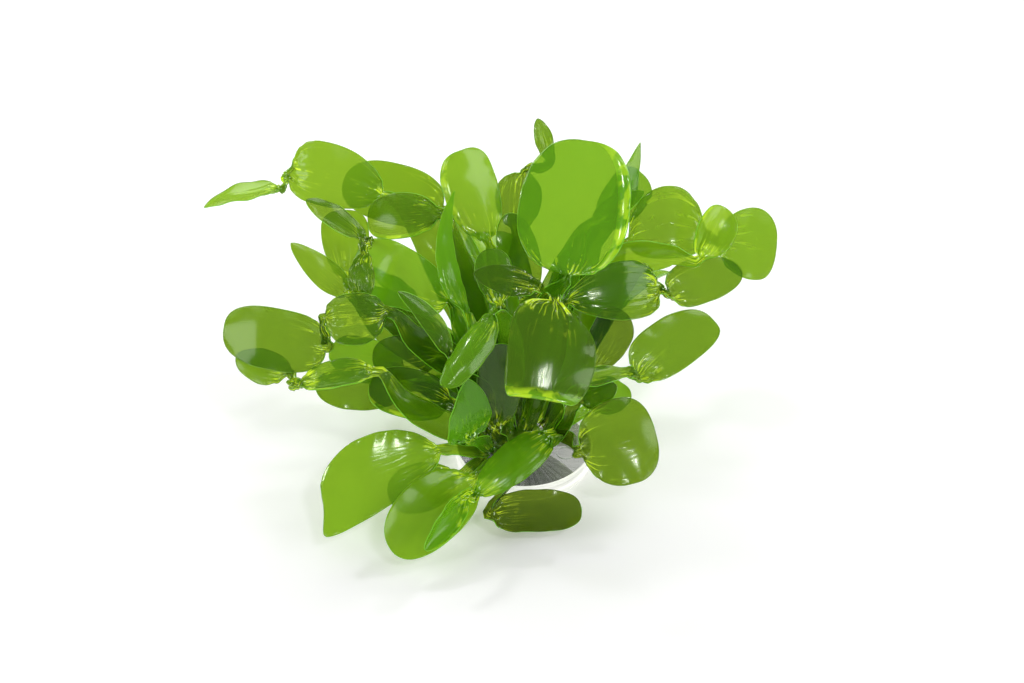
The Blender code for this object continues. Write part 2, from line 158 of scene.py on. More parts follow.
# Each light's place and size in metres, and the setting that holds its power.
LIGHTS = {
    "window_light": ((-0.2, 1.3, 1.1), (1.4, 0.8), "window"),
    "left_light": ((-1.5, -0.6, 0.8), (1.0, 1.0), "sides"),
    "right_light": ((1.5, -0.6, 0.8), (1.0, 1.0), "sides"),
    "back_left_glint": ((-0.9, 0.6, 0.9), (0.18, 0.12), "glints"),
    "back_right_glint": ((0.8, 0.8, 0.9), (0.18, 0.12), "glints"),
    "front_glint": ((0.45, -0.9, 1.2), (0.18, 0.12), "glints"),
}
LIT_POINT = (0.0, 0.0, 0.07)
SENSOR_WIDTH = 36.0


class Lobe(NamedTuple):
    """One rounded lobe, seen with its tip up and its face towards the eye.

    The rolls are turns in degrees of the outer edge, towards the face where they are positive.
    """

    base: tuple
    tip: tuple
    face: tuple
    left: float
    right: float
    widest: float = 0.5
    round_base: float = 2.0
    round_tip: float = 2.2
    bend: float = 0.0
    cup: float = 0.0
    sweep: float = 0.0
    lean: float = 0.0
    fan: float = 0.0
    roll_left: float = 0.0
    roll_right: float = 0.0
    roll_tip: float = 0.0


class Frond(NamedTuple):
    """One strip of film: where it leaves the knot, what its stem passes, its lobes, its dye and its painted
    shade.

    The tint goes from 0, a deep green, to 1, a yellow one. The painted shade darkens a strip to stand for
    the shadow inside and under the plant, and it is 1 where the strip is lightest.
    """

    leaves: tuple
    stem: tuple
    tint: float
    shade: float
    lobes: tuple


def strip(leaves, stem, tint, shade, *lobes):
    """One strip, as the tables write it."""
    return Frond(leaves, stem, tint, shade, lobes)


# Each strip gives its tint of dye and then its painted shade, lower for strips in the plant's shadow.
FRONT = {
    "front_left": strip(
        (-0.85, -0.6, 0.12), ((-26, -22, 21),), 0.8, 0.9,
        Lobe((-41, -35, 32), (-96, -60, 24), (0.1, -0.6, 0.8), 19, 20, 0.75, 1.7, 3.2, 3, 2, lean=-0.7),
    ),
    "front_left_under": strip(
        (-0.8, -0.5, 0.02), ((-24, -24, 14),), 0.5, 0.6,
        Lobe((-34, -33, 14), (-66, -46, 12), (0.1, -0.5, 0.85), 13, 12, 0.55, 2, 2.4, 2, 1),
    ),
    "front_low": strip(
        (-0.5, -0.85, 0.1), ((-17, -31, 19),), 0.8, 0.9,
        Lobe((-25, -43, 21), (-61, -85, 13), (0.1, -0.6, 0.8), 14, 18, 0.5, 2, 2.4, 3, 3),
    ),
    "front": strip(
        (0, -0.97, 0.12), ((-6, -38, 14),), 0, 0.05,
        Lobe((-15, -59, 13), (27, -60, 16), (0, -0.5, 0.85), 11, 10, 0.45, 3, 2.8, 2, 1),
    ),
    "front_right": strip(
        (0.75, -0.6, 0.3), ((16, -15, 26),), 0.35, 0.9,
        Lobe((12, -22, 31), (-23, -53, 20), (0, -0.5, 0.85), 9, 11, 0.45, 2.6, 1.8, 2, -2),
        Lobe((-30, -60, 25), (-46, -91, 21), (0.5, -0.6, 0.6), 6, 6, 0.4, 2, 2, 2, 3, roll_left=80),
    ),
    "front_upright": strip(
        (-0.7, -0.7, 0.4), ((-22, -27, 34),), 0.1, 0.85,
        Lobe((-27, -36, 42), (-27, -36, 77), (0.6, -0.75, 0.2), 15, 11, 0.28, 2.2, 1.6, 2, 2),
    ),
    "inner_front": strip(
        (-0.3, -0.75, 0.6), ((-12, -20, 30),), 0.5, 0.22,
        Lobe((-14, -26, 40), (-11, -20, 86), (0.1, -0.97, 0.1), 11, 11, 0.6, 2, 2.2, 2, 1),
    ),
}

CENTRE = {
    "centre": strip(
        (0.3, -0.5, 0.85), ((6, -13, 50), (11, -9, 95)), 0.5, 0.42,
        Lobe(
            (13, -22, 111), (7, -64, 78), (0.1, -0.9, 0.4), 22, 19, 0.4, 2.4, 3.2, 4, -3,
            fan=0.4, roll_tip=120,
        ),
    ),
    "centre_left": strip(
        (0, -0.3, 0.97), ((-4, -6, 58), (-2, -5, 98)), 0.5, 0.3,
        Lobe((5, -14, 114), (-24, -10, 119), (0, -0.75, 0.65), 7, 7, 0.4, 2, 1.7, 2),
    ),
    "centre_flap": strip(
        (-0.2, -0.45, 0.88), ((-8, -14, 58), (-11, -18, 98)), 0.4, 0.75,
        Lobe((-15, -28, 108), (-37, -58, 90), (-0.4, -0.7, 0.6), 8, 8, 0.4, 2, 2.2, 1, -5),
    ),
}

RIGHT = {
    "right_low": strip(
        (0.9, -0.2, 0.5), ((26, -20, 27),), 0.8, 0.4,
        Lobe((27, -37, 34), (63, -27, 40), (0.1, -0.75, 0.6), 20, 22, 0.55, 2.4, 2.4, 3, 2),
    ),
    "right": strip(
        (0.75, -0.3, 0.6), ((18, -14, 42),), 0.35, 0.5,
        Lobe((24, -25, 68), (50, -13, 64), (0, -0.6, 0.8), 5, 5, 0.35, 2, 1.6, 1, 1),
        Lobe((56, -8, 56), (95, 21, 70), (-0.2, -0.8, 0.6), 17, 10, 0.45, 2.4, 2.6, 3, 2, lean=0.3),
    ),
    "inner_right": strip(
        (0.75, 0.1, 0.7), ((18, -4, 42),), 0, 0.12,
        Lobe((32, -5, 60), (45, 10, 86), (0.2, -0.9, 0.4), 9, 13, 0.6, 2, 2.2, 2, 1),
    ),
    "upper_right": strip(
        (0.42, 0.06, 0.9), ((14, 3, 56), (19, 2, 84)), 0.25, 0.45,
        Lobe((20, 6, 93), (65, 19, 91), (0, -0.75, 0.65), 15, 14, 0.6, 1.6, 3, 3, 2),
        Lobe((71, 21, 86), (109, 38, 89), (0, -0.6, 0.8), 13, 11, 0.4, 2.6, 2, 2, 1),
    ),
    "right_tip": strip(
        (0.65, 0.45, 0.6), ((27, 20, 50), (45, 38, 86)), 0.55, 0.75,
        Lobe((52, 44, 101), (91, 48, 102), (0, -0.8, 0.6), 27, 10, 0.55, 2.2, 2.2, 3, 3, roll_right=80),
        Lobe((98, 53, 97), (129, 56, 94), (0.1, -0.9, 0.4), 18, 19, 0.6, 2, 2.2, 1, 2, lean=0.1),
    ),
    "right_small": strip(
        (0.65, 0.3, 0.8), ((24, 11, 57), (48, 31, 98), (71, 32, 103)), 1, 1,
        Lobe((86, 29, 103), (97, 42, 124), (0.1, -0.85, 0.5), 9, 11, 0.55, 2, 2.2, 2, 3, roll_left=60),
    ),
    "right_inner": strip(
        (0.9, -0.4, 0.35), ((21, -14, 34),), 0.5, 0.3,
        Lobe((27, -13, 46), (45, -11, 54), (0.1, -0.75, 0.6), 8, 7, 0.4, 2, 1.8, 1, 1, roll_left=60),
    ),
}

TOP = {
    "top": strip(
        (0.15, -0.1, 0.98), ((5, 2, 60), (13, 4, 98)), 0.2, 0.8,
        Lobe((20, 0, 111), (31, 78, 141), (0, -0.7, 0.7), 28, 27, 0.4, 2.5, 2.2, 3, 3, roll_right=70),
    ),
    "top_blade": strip(
        (0.2, 0.32, 0.93), ((12, 19, 64), (24, 31, 100)), 0.3, 0.8,
        Lobe((34, 40, 117), (59, 51, 127), (-0.1, -0.6, 0.8), 6, 6, 0.45, 2, 1.5, 1, 1),
    ),
    "top_spike": strip(
        (0.28, 0.55, 0.8), ((15, 28, 62), (31, 44, 102)), 0.1, 0.7,
        Lobe((48, 54, 115), (58, 74, 142), (0.5, -0.75, 0.4), 7.5, 6, 0.25, 2, 1.2, 1),
    ),
    "top_back_right": strip(
        (0.3, 0.7, 0.65), ((14, 34, 54), (26, 56, 88)), 0.3, 0.7,
        Lobe((38, 66, 98), (62, 92, 114), (0.1, -0.9, 0.4), 12, 12, 0.6, 2, 2.4, 2, 2),
    ),
    "top_back": strip(
        (0, 0.6, 0.8), ((-2, 32, 56),), 0.1, 0.5,
        Lobe((-3, 68, 94), (-1, 90, 115), (0, -0.9, 0.4), 13, 11, 0.55, 2, 2.4, 2, 2),
        Lobe((13, 94, 122), (7, 102, 141), (0.2, -0.9, 0.4), 5, 5, 0.5, 2, 1.6, 1),
    ),
}

UPPER_LEFT = {
    "upper_middle": strip(
        (-0.12, 0.4, 0.92), ((-7, 17, 58), (-12, 37, 86)), 0.6, 0.9,
        Lobe((-18, 50, 100), (-32, 77, 136), (-0.2, -0.9, 0.3), 14, 15, 0.55, 2, 2.8, 3, 3, roll_left=60),
    ),
    "upper_small": strip(
        (0.02, 0.14, 0.98), ((-3, 12, 66),), 0.4, 0.6,
        Lobe((1, 20, 84), (-8, 42, 120), (0.1, -0.9, 0.4), 10, 11, 0.45, 2, 2.2, 1, 1),
    ),
    "upper_front": strip(
        (-0.14, 0.06, 0.98), ((-8, 2, 60),), 0.4, 0.6,
        Lobe((-12, 1, 94), (-17, 22, 112), (0, -0.8, 0.6), 9, 9, 0.55, 2, 2.2, 2, 2),
    ),
    "upper_left": strip(
        (-0.45, 0.45, 0.78), ((-28, 34, 66), (-48, 58, 98)), 0.8, 0.85,
        Lobe((-72, 67, 116), (-119, 77, 123), (0.1, -0.9, 0.4), 12, 20, 0.6, 2, 3, 3, 3),
        Lobe((-125, 77, 113), (-165, 73, 105), (0, 0.12, 0.99), 12, 12, 0.45, 2, 1.6, 2, 2),
    ),
    "upper_left_back": strip(
        (-0.3, 0.65, 0.7), ((-22, 52, 56), (-36, 84, 84)), 0.8, 0.85,
        Lobe((-43, 92, 93), (-96, 99, 104), (-0.1, -0.9, 0.45), 14, 18, 0.5, 2.6, 2.4, 3, 2),
    ),
    "upper_left_inner": strip(
        (-0.38, 0.32, 0.87), ((-24, 25, 63), (-36, 42, 96)), 0.8, 0.65,
        Lobe((-43, 52, 114), (-79, 56, 107), (0.1, -0.8, 0.6), 12, 12, 0.5, 2, 2.4, 2, 3, roll_left=80),
    ),
    "upper_blade": strip(
        (-0.3, -0.1, 0.95), ((-16, -4, 50), (-24, -12, 82)), 0.3, 1,
        Lobe((-28, -10, 96), (-34, 36, 136), (0.5, -0.7, 0.5), 6, 6, 0.3, 2, 1.3, 1, -1, sweep=-8),
    ),
}

LEFT = {
    "left_strap": strip(
        (-0.6, 0.25, 0.75), ((-34, 9, 56), (-62, 6, 82)), 0.7, 0.5,
        Lobe((-78, 3, 96), (-78, 18, 111), (0.1, -0.75, 0.6), 7, 6, 0.45, 2, 2, 1, 1),
        Lobe((-79, 38, 107), (-110, 62, 116), (0.1, -0.6, 0.8), 6, 6, 0.5, 2, 1.6, 2, 2),
    ),
    "left_middle": strip(
        (-0.45, 0, 0.9), ((-22, 4, 54), (-32, 8, 78)), 0.3, 0.9,
        Lobe((-37, 11, 88), (-83, 33, 102), (0, -0.85, 0.5), 16, 15, 0.6, 2.2, 2.4, 2, 2),
    ),
    "left_back": strip(
        (-0.65, 0.5, 0.55), ((-44, 36, 44), (-74, 50, 62)), 0.9, 0.8,
        Lobe((-92, 54, 74), (-97, 80, 99), (0, -0.8, 0.6), 10, 15, 0.65, 2, 2.4, 2, 1),
    ),
    "left_point": strip(
        (-0.8, 0.25, 0.55), ((-44, 18, 46), (-72, 28, 62)), 0.9, 0.75,
        Lobe((-88, 36, 76), (-119, 56, 94), (0.1, -0.8, 0.6), 8, 7, 0.35, 2, 1.5, 2, 2),
    ),
    "left_long": strip(
        (-0.8, -0.2, 0.6), ((-30, -5, 56), (-54, -7, 80)), 0.4, 0.45,
        Lobe((-66, -4, 93), (-95, -4, 90), (0, -0.75, 0.65), 15, 10, 0.45, 2, 2.6, 2, 2),
        Lobe((-95.5, -8.5, 75), (-147, 5, 77), (0, -0.85, 0.5), 15, 15, 0.5, 3, 2.4, 3, 2),
    ),
    "left_under": strip(
        (-0.8, -0.45, 0.45), ((-34, -28, 38), (-58, -34, 60)), 0.5, 0.6,
        Lobe((-71, -27, 74), (-105, -28, 67), (0, -0.4, 0.92), 6, 10, 0.5, 2, 2.4, 1, 1, roll_left=70),
        Lobe((-115, -9, 59), (-142, 4, 62), (0, -0.4, 0.92), 10, 9, 0.4, 1.8, 2, 1, -2),
    ),
    "left_low": strip(
        (-0.95, 0.05, 0.25), ((-34, -2, 34),), 0.6, 0.6,
        Lobe((-57, -3, 48), (-103, -7, 51), (0, -0.85, 0.5), 12, 10, 0.5, 2, 2.2, 2, 2),
    ),
    "left_inner": strip(
        (-0.95, -0.15, 0.12), ((-26, -12, 30),), 0.4, 0.4,
        Lobe((-37, -20, 50), (-75, -18, 59), (0, -0.8, 0.6), 12, 13, 0.45, 2.2, 2.6, 2, 1, roll_left=80),
    ),
    "left_dark": strip(
        (-0.87, -0.02, 0.45), ((-28, -3, 42),), 0.5, 0.4,
        Lobe((-43, -2, 66), (-74, -6, 67), (0, -0.85, 0.5), 11, 11, 0.5, 2, 2.4, 2, 1),
    ),
    "left_curved": strip(
        (-0.5, -0.25, 0.85), ((-22, -14, 56),), 0.4, 0.5,
        Lobe((-34, -28, 84), (-60, -3, 104), (-0.2, -0.8, 0.6), 5, 5, 0.4, 2, 1.6, 3, 2, sweep=4),
    ),
}

BACK = {
    "back_left": strip(
        (-0.5, 0.75, 0.5), (), 0.6, 0.9,
        Lobe((-24, 26, 28), (-50, 56, 44), (0.3, 0.5, 0.8), 11, 11, 0.55, 2, 2, 3, 3),
        Lobe((-58, 64, 48), (-92, 88, 58), (0.3, 0.4, 0.85), 14, 15, 0.5, 2, 2.4, 3, 2),
    ),
    "back_low_left": strip(
        (-0.85, 0.45, 0.2), (), 0.4, 0.9,
        Lobe((-28, 14, 16), (-56, 32, 24), (0.1, -0.1, 0.99), 10, 11, 0.5, 2, 2, 2, 2),
        Lobe((-64, 36, 27), (-102, 48, 34), (0.1, -0.3, 0.95), 14, 14, 0.5, 2, 2.4, -3, 2),
    ),
    "back": strip(
        (-0.1, 0.85, 0.5), (), 0.5, 0.9,
        Lobe((-7, 32, 30), (-12, 66, 52), (0, 0.5, 0.85), 12, 12, 0.55, 2, 2, 3, 3),
        Lobe((-14, 76, 56), (-20, 112, 66), (0, 0.4, 0.9), 15, 15, 0.5, 2, 2.4, 3, 3),
    ),
    "back_low": strip(
        (0.1, 0.97, 0.1), (), 0.5, 0.9,
        Lobe((2, 28, 13), (8, 58, 20), (0, 0.1, 0.99), 11, 11, 0.5, 2, 2, 2, 2),
        Lobe((10, 66, 22), (16, 102, 20), (0, 0.2, 0.95), 15, 14, 0.5, 2, 2.4, -3, 2),
    ),
    "back_right": strip(
        (0.5, 0.75, 0.45), (), 0.4, 0.9,
        Lobe((18, 28, 24), (42, 54, 44), (-0.3, 0.5, 0.8), 11, 11, 0.55, 2, 2, 3, 3),
        Lobe((50, 62, 48), (80, 84, 58), (-0.3, 0.4, 0.85), 14, 14, 0.5, 2, 2.4, 3, 3),
    ),
    "back_low_right": strip(
        (0.9, 0.4, 0.15), ((24, 8, 16),), 0.5, 0.9,
        Lobe((34, 16, 17), (52, 38, 18), (0.1, -0.2, 0.95), 12, 12, 0.55, 2, 2.4, -2, 2),
    ),
}


def a_length(name, description, default):
    """A length that a user may change."""
    return FloatProperty(name=name, description=description, default=default, unit="LENGTH")


def a_colour(name, description, default):
    """A colour that a user may change."""
    return FloatVectorProperty(name=name, description=description, default=default, subtype="COLOR")


class FilmSettings(bpy.types.PropertyGroup):
    """The film that every strip is cut from."""

    thickness: a_length("Thickness", "Thickness of the film", 0.0004)
    deep_green: a_colour("Deep green", "Colour of the darkest strips", (0.13, 0.52, 0.008))
    yellow_green: a_colour("Yellow green", "Colour of the lightest strips", (0.34, 0.60, 0.02))
    # The glint is the colour of the painted highlights and glow in creases and pleats.
    glint: a_colour("Painted crease glint", "Colour of creases and pleats, which gather light", (0.75, 0.90, 0.04))
    see_through: a_colour(
        "See-through tint", "Tint of what shows through one face of the film", (0.68, 0.84, 0.21)
    )
    cover: FloatProperty(
        name="Cover", description="Share of the light that one face scatters", default=0.5,
        min=0.0, max=1.0, subtype="FACTOR",
    )
    pleat_depth: a_length("Pleat depth", "Height of the pleats at a neck", 0.0013)
    crumple: a_length("Crumple", "Height of the crumples at a neck", 0.0021)
    ripple: a_length("Ripple", "Height of the soft waves in a lobe", 0.0006)
    columns: IntProperty(
        name="Columns", description="Points across a strip", default=37, min=5, max=81
    )


class BaseSettings(bpy.types.PropertyGroup):
    """The clear disc and what sticks to it."""

    radius: a_length("Radius", "Radius of the disc", (DISC_HIGH.x - DISC_LOW.x) / 2)
    height: a_length("Height", "Height of the disc", DISC_HIGH.z - DISC_LOW.z)
    broken_edge: a_length("Broken edge", "Width of the disc's small chamfers", 0.0005)
    clear: a_colour("Clear acrylic", "What the acrylic lets through", (0.88, 0.90, 0.88))
    # The sawn colour is also the colour of the edge's painted glow.
    sawn: a_colour("Sawn edge", "Colour of the disc's pale sawn edge", (0.88, 0.88, 0.84))
    ring_radius: a_length("Glue ring radius", "Radius of the dried ring on the disc", 0.0045)
    ring_place: FloatVectorProperty(
        name="Glue ring place", description="Where the dried ring lies", default=(0.021, -0.0096, 0.0),
        subtype="TRANSLATION", unit="LENGTH",
    )


class StageSettings(bpy.types.PropertyGroup):
    """The floor, the light and the camera."""

    floor: a_colour("Floor", "Colour of the floor", (0.92, 0.92, 0.92))
    floor_size: a_length("Floor size", "Length of the floor's sides", 12.0)
    world: FloatProperty(name="Sky", description="Strength of the light from all sides", default=0.22)
    window: FloatProperty(name="Window", description="Power of the wide light behind", default=13.0)
    sides: FloatProperty(name="Sides", description="Power of the soft lights at the sides", default=13.0)
    glints: FloatProperty(name="Glints", description="Power of each small bright light", default=3.5)
    camera_place: FloatVectorProperty(
        name="Camera place", description="Where the camera stands", default=(-0.0062, -0.5607, 0.48),
        subtype="TRANSLATION", unit="LENGTH",
    )
    camera_pitch: FloatProperty(
        name="Camera pitch", description="How far the camera looks down", default=math.radians(36.0),
        subtype="ANGLE", unit="ROTATION",
    )
    lens: FloatProperty(name="Lens", description="Focal length in millimetres", default=50.0)


class Socket:
    """A shader value: Python expressions on it add the nodes that work them out."""

    def __init__(self, shader, socket):
        self.shader = shader
        self.socket = socket

    def math(self, operation, *values):
        """The result of one Math node."""
        return self.shader.node("ShaderNodeMath", {"operation": operation}, dict(enumerate(values)))

    def __add__(self, other):
        return self.math("ADD", self, other)

    __radd__ = __add__

    def __sub__(self, other):
        return self.math("SUBTRACT", self, other)

    def __rsub__(self, other):
        return self.math("SUBTRACT", other, self)

    def __mul__(self, other):
        return self.math("MULTIPLY", self, other)

    __rmul__ = __mul__

    def __truediv__(self, other):
        return self.math("DIVIDE", self, other)

    def __rtruediv__(self, other):
        return self.math("DIVIDE", other, self)

    def __pow__(self, other):
        return self.math("POWER", self, other)

    def __abs__(self):
        return self.math("ABSOLUTE", self)

    def exp(self):
        """The exponential of the value."""
        return self.math("EXPONENT", self)

    def clamped(self):
        """The value kept between 0 and 1."""
        return self.shader.node("ShaderNodeClamp", {}, {0: self})


class Shader:
    """The nodes of one material."""

    def __init__(self, name):
        self.material = bpy.data.materials.new(name)
        self.material.use_nodes = True
        self.tree = self.material.node_tree
        self.tree.nodes.clear()

    def node(self, kind, settings, values, output=0):
        """Adds a node, with its settings first and then the values or links of its sockets."""
        node = self.tree.nodes.new(kind)
        for name, value in settings.items():
            if name == "stops":
                self.set_stops(node.color_ramp, value)
            else:
                setattr(node, name, value)
        for place, value in values.items():
            if isinstance(value, Socket):
                self.tree.links.new(value.socket, node.inputs[place])
            else:
                node.inputs[place].default_value = value
        return Socket(self, node.outputs[output])

    @staticmethod
    def set_stops(ramp, stops):
        """Gives a colour ramp its stops: pairs of a place and a grey."""
        while len(ramp.elements) < len(stops):
            ramp.elements.new(1.0)
        for element, (place, level) in zip(ramp.elements, stops):
            element.position = place
            element.color = (level, level, level, 1.0)

    def attribute(self, name):
        """A number that the mesh holds at each point."""
        return self.node("ShaderNodeAttribute", {"attribute_name": name}, {}, output=2)

    def vector(self, x, y, z):
        """A vector from three values."""
        return self.node("ShaderNodeCombineXYZ", {}, {0: x, 1: y, 2: z})

    def place(self):
        """The point of the object that is shaded."""
        return self.node("ShaderNodeTexCoord", {}, {}, output=3)

    def noise(self, place, scale, detail=2.0, roughness=0.5):
        """Soft noise, about 0.5."""
        values = {"Vector": place, "Scale": scale, "Detail": detail, "Roughness": roughness}
        return self.node("ShaderNodeTexNoise", {}, values)

    def ramp(self, value, *stops):
        """The value through a ramp of greys."""
        return self.node("ShaderNodeValToRGB", {"stops": stops}, {0: value})

    def mix(self, factor, first, second):
        """The first colour where the factor is 0, and the second where it is 1."""
        return self.node("ShaderNodeMix", {"data_type": "RGBA"}, {0: factor, 6: first, 7: second}, 2)

    def bump(self, height, distance, strength=1.0):
        """The normal of a surface with this height."""
        values = {"Height": height, "Distance": distance, "Strength": strength}
        return self.node("ShaderNodeBump", {}, values)

    def plastic(self, **values):
        """A Principled shader: the names stand for its sockets, with _ for a space."""
        named = {name.replace("_", " "): value for name, value in values.items()}
        return self.node("ShaderNodeBsdfPrincipled", {}, named)

    def finish(self, surface):
        """Ends the tree with this surface and returns the material."""
        output = self.tree.nodes.new("ShaderNodeOutputMaterial")
        self.tree.links.new(surface.socket, output.inputs["Surface"])
        return self.material


def solid(colour, share=1.0):
    """A colour at this share of its brightness, with its alpha."""
    return (*(share * part for part in colour), 1.0)


def film_material(film):
    """See-through green film: glossy, with painted glints, glow and white sparks on fans of creases near
    its necks.
    """
    shader = Shader("dyed_film")
    names = ("across", "from_neck", "rim", "tint", "shade", "fold", "seed")
    across, neck, rim, tint, shade, fold, seed = map(shader.attribute, names)
    place = shader.place()
    near, far = (neck * -NEAR_FADE).exp(), (neck * -FAR_FADE).exp()
    fan = shader.vector(across * CREASES_ACROSS + seed * 40.0, neck * CREASES_ALONG, seed * 23.0)
    lines = (1.0 - abs(shader.noise(fan, 1.0, 1.0) * 2.0 - 1.0)) ** CREASE_SHARPNESS
    patches = shader.ramp(shader.noise(place, PATCH_SCALE), (0.47, 0.0), (0.55, 1.0))
    grain = shader.noise(place, SPARK_SCALE, 1.0)
    # Painted highlights: creases near the necks and rolled edges take the glint colour and glow with it,
    # with white painted sparks.
    painted_glint_mask = ((near * 1.4).clamped() * patches * (lines * 1.3) + fold * patches * 0.4).clamped()
    painted_sparks = shader.ramp(grain, (0.62, 0.0), (0.66, 1.0)) * near * near * lines * 3.0
    mottle = shader.noise(place, MOTTLE_SCALE)
    edge = (1.0 - rim / RIM_WIDTH).clamped()
    green = shader.mix(tint, solid(film.deep_green), solid(film.yellow_green))
    green = shader.mix(mottle * 0.3, green, solid(film.yellow_green))
    # Painted shade: each strip is darkened by its shade, and its rolled edges are painted lighter, as if
    # lit.
    dark = shader.mix((shade + fold * 0.6).clamped(), BLACK, green)
    # The rims are painted a little lighter, towards the glint colour, as if they caught light.
    colour = shader.mix((painted_glint_mask + edge * 0.04).clamped(), dark, solid(film.glint))
    painted_glow = shader.mix(painted_glint_mask, BLACK, solid(film.glint, 0.8))
    painted_glow = shader.mix(painted_sparks.clamped(), painted_glow, PAINTED_SPARK)
    waves = shader.noise(place, WAVE_SCALE, 1.0)
    surface = shader.plastic(
        Base_Color=colour,
        Roughness=0.07 + mottle * 0.12,
        IOR=PLASTIC_IOR,
        Specular_IOR_Level=0.6,
        Emission_Color=painted_glow,
        Emission_Strength=1.0,
        Normal=shader.bump(lines * far * 0.6 + waves * 0.12, 0.0004, 0.5),
    )
    clear = shader.node("ShaderNodeBsdfTransparent", {}, {0: solid(film.see_through)})
    cover = film.cover + edge * 0.15
    return shader.finish(shader.node("ShaderNodeMixShader", {}, {0: cover, 1: clear, 2: surface}))


def edge_material(film):
    """The cut edge of the film, duller than its faces."""
    shader = Shader("film_edge")
    mottle = shader.noise(shader.place(), 60.0)
    green = shader.mix(mottle * 0.5, solid(film.deep_green), solid(film.yellow_green))
    return shader.finish(shader.plastic(Base_Color=green, Roughness=0.3, IOR=PLASTIC_IOR))


def knot_material(film):
    """Film ends melted and glued together."""
    shader = Shader("melted_lump")
    place = shader.place()
    lumps = shader.noise(place, 160.0, 4.0)
    green = shader.mix(lumps, solid((0.03, 0.10, 0.005)), solid(film.yellow_green))
    return shader.finish(
        shader.plastic(
            Base_Color=green,
            Roughness=0.15 + lumps * 0.3,
            IOR=PLASTIC_IOR,
            Coat_Weight=0.5,
            Normal=shader.bump(lumps, 0.001, 0.6),
        )
    )


def acrylic_material(base):
    """Clear acrylic, polished above and below."""
    shader = Shader("polished_acrylic")
    scuffs = shader.noise(shader.place(), 300.0, 5.0, 0.7)
    marks = shader.ramp(scuffs, (0.55, 0.0), (0.75, 1.0))
    return shader.finish(
        shader.plastic(
            Base_Color=solid(base.clear),
            Roughness=0.02 + marks * 0.10,
            IOR=PLASTIC_IOR,
            Transmission_Weight=1.0,
        )
    )


def sawn_material(base):
    """The disc's edge: sawn acrylic, pale and streaked round the disc, and glowing with painted light."""
    shader = Shader("sawn_acrylic")
    place = shader.place()
    stretched = shader.node(
        "ShaderNodeVectorMath", {"operation": "MULTIPLY"}, {0: place, 1: (30.0, 30.0, 2600.0)}
    )
    streaks = shader.ramp(shader.noise(stretched, 1.0, 3.0), (0.4, 0.0), (0.68, 1.0))
    colour = shader.mix(streaks, solid(base.sawn), solid(base.sawn, 0.5))
    return shader.finish(
        shader.plastic(
            Base_Color=colour,
            Roughness=0.25 + streaks * 0.3,
            IOR=PLASTIC_IOR,
            # Painted glow: the pale edge glows with its own colour, as if lit.
            Emission_Color=colour,
            Emission_Strength=0.62,
            Normal=shader.bump(streaks, 0.0003, 0.5),
        )
    )


def painted_underside_material():
    """The disc's underside, painted with shade and light: dark where the plant's shadow falls, and pale and
    glowing towards the right, where the light comes in.
    """
    shader = Shader("frosted_acrylic")
    place = shader.place()
    across = shader.node("ShaderNodeSeparateXYZ", {}, {0: place})
    cloud = shader.noise(place, 60.0, 2.0)
    # Painted light and shade: lighter towards the right and dark where the plant's shadow falls, with the
    # grey glowing.
    reach = (across * 20.0 + cloud * 0.5 - 0.15).clamped()
    grey = shader.mix(reach, solid((0.015, 0.02, 0.015)), solid((0.2, 0.215, 0.165)))
    return shader.finish(
        shader.plastic(
            Base_Color=grey,
            Roughness=0.5 + cloud * 0.2,
            IOR=PLASTIC_IOR,
            Emission_Color=grey,
            Emission_Strength=0.8,
        )
    )


def glue_material():
    """Dried clear glue."""
    shader = Shader("dried_glue")
    cloud = shader.noise(shader.place(), 900.0)
    colour = shader.mix(cloud, solid((0.75, 0.78, 0.78)), solid((0.95, 0.97, 1.0)))
    return shader.finish(shader.plastic(Base_Color=colour, Roughness=0.2, IOR=1.45, Alpha=0.75))


def floor_material(stage):
    """A plain pale floor."""
    shader = Shader("pale_floor")
    grain = shader.noise(shader.place(), 90.0, 3.0)
    colour = shader.mix(grain * 0.1, solid(stage.floor), solid(stage.floor, 0.97))
    return shader.finish(
        shader.plastic(Base_Color=colour, Roughness=0.9, Emission_Color=colour, Emission_Strength=0.16)
    )


def unit(vector):
    """The vector at length one."""
    vector = np.asarray(vector, float)
    return vector / np.linalg.norm(vector)


def turned(vector, before, after):
    """The vector after the smallest turn that takes one direction to the other."""
    axis = np.cross(before, after)
    cosine = before @ after
    return vector * cosine + np.cross(axis, vector) + axis * (axis @ vector) / (1 + cosine)


def distances(points):
    """How far along its line each point is."""
    steps = [np.linalg.norm(here - before) for before, here in zip(points, points[1:])]
    return np.concatenate([[0.0], np.cumsum(steps)])


def superellipse(u, lobe):
    """The share of a lobe's full width at u, from 0 at its base to 1 at its tip."""
    if u < lobe.widest:
        away, power = (lobe.widest - u) / lobe.widest, lobe.round_base
    else:
        away, power = (u - lobe.widest) / (1 - lobe.widest), lobe.round_tip
    return max(0.0, 1 - away**power) ** (1 / power)


def lobe_frame(lobe):
    """A lobe's direction, its right side and its face, square to each other, and its length."""
    along = unit(np.subtract(lobe.tip, lobe.base))
    face = np.asarray(lobe.face, float)
    face = unit(face - along * (face @ along))
    return along, np.cross(along, face), face, np.linalg.norm(np.subtract(lobe.tip, lobe.base))


def hermite(start, start_slope, end, end_slope, u):
    """The point and the slope at u on the smooth curve between two ends."""
    point = (
        (2 * u**3 - 3 * u**2 + 1) * start
        + (u**3 - 2 * u**2 + u) * start_slope
        + (3 * u**2 - 2 * u**3) * end
        + (u**3 - u**2) * end_slope
    )
    slope = (
        (6 * u**2 - 6 * u) * start
        + (3 * u**2 - 4 * u + 1) * start_slope
        + (6 * u - 6 * u**2) * end
        + (3 * u**2 - 2 * u) * end_slope
    )
    return point, unit(slope)


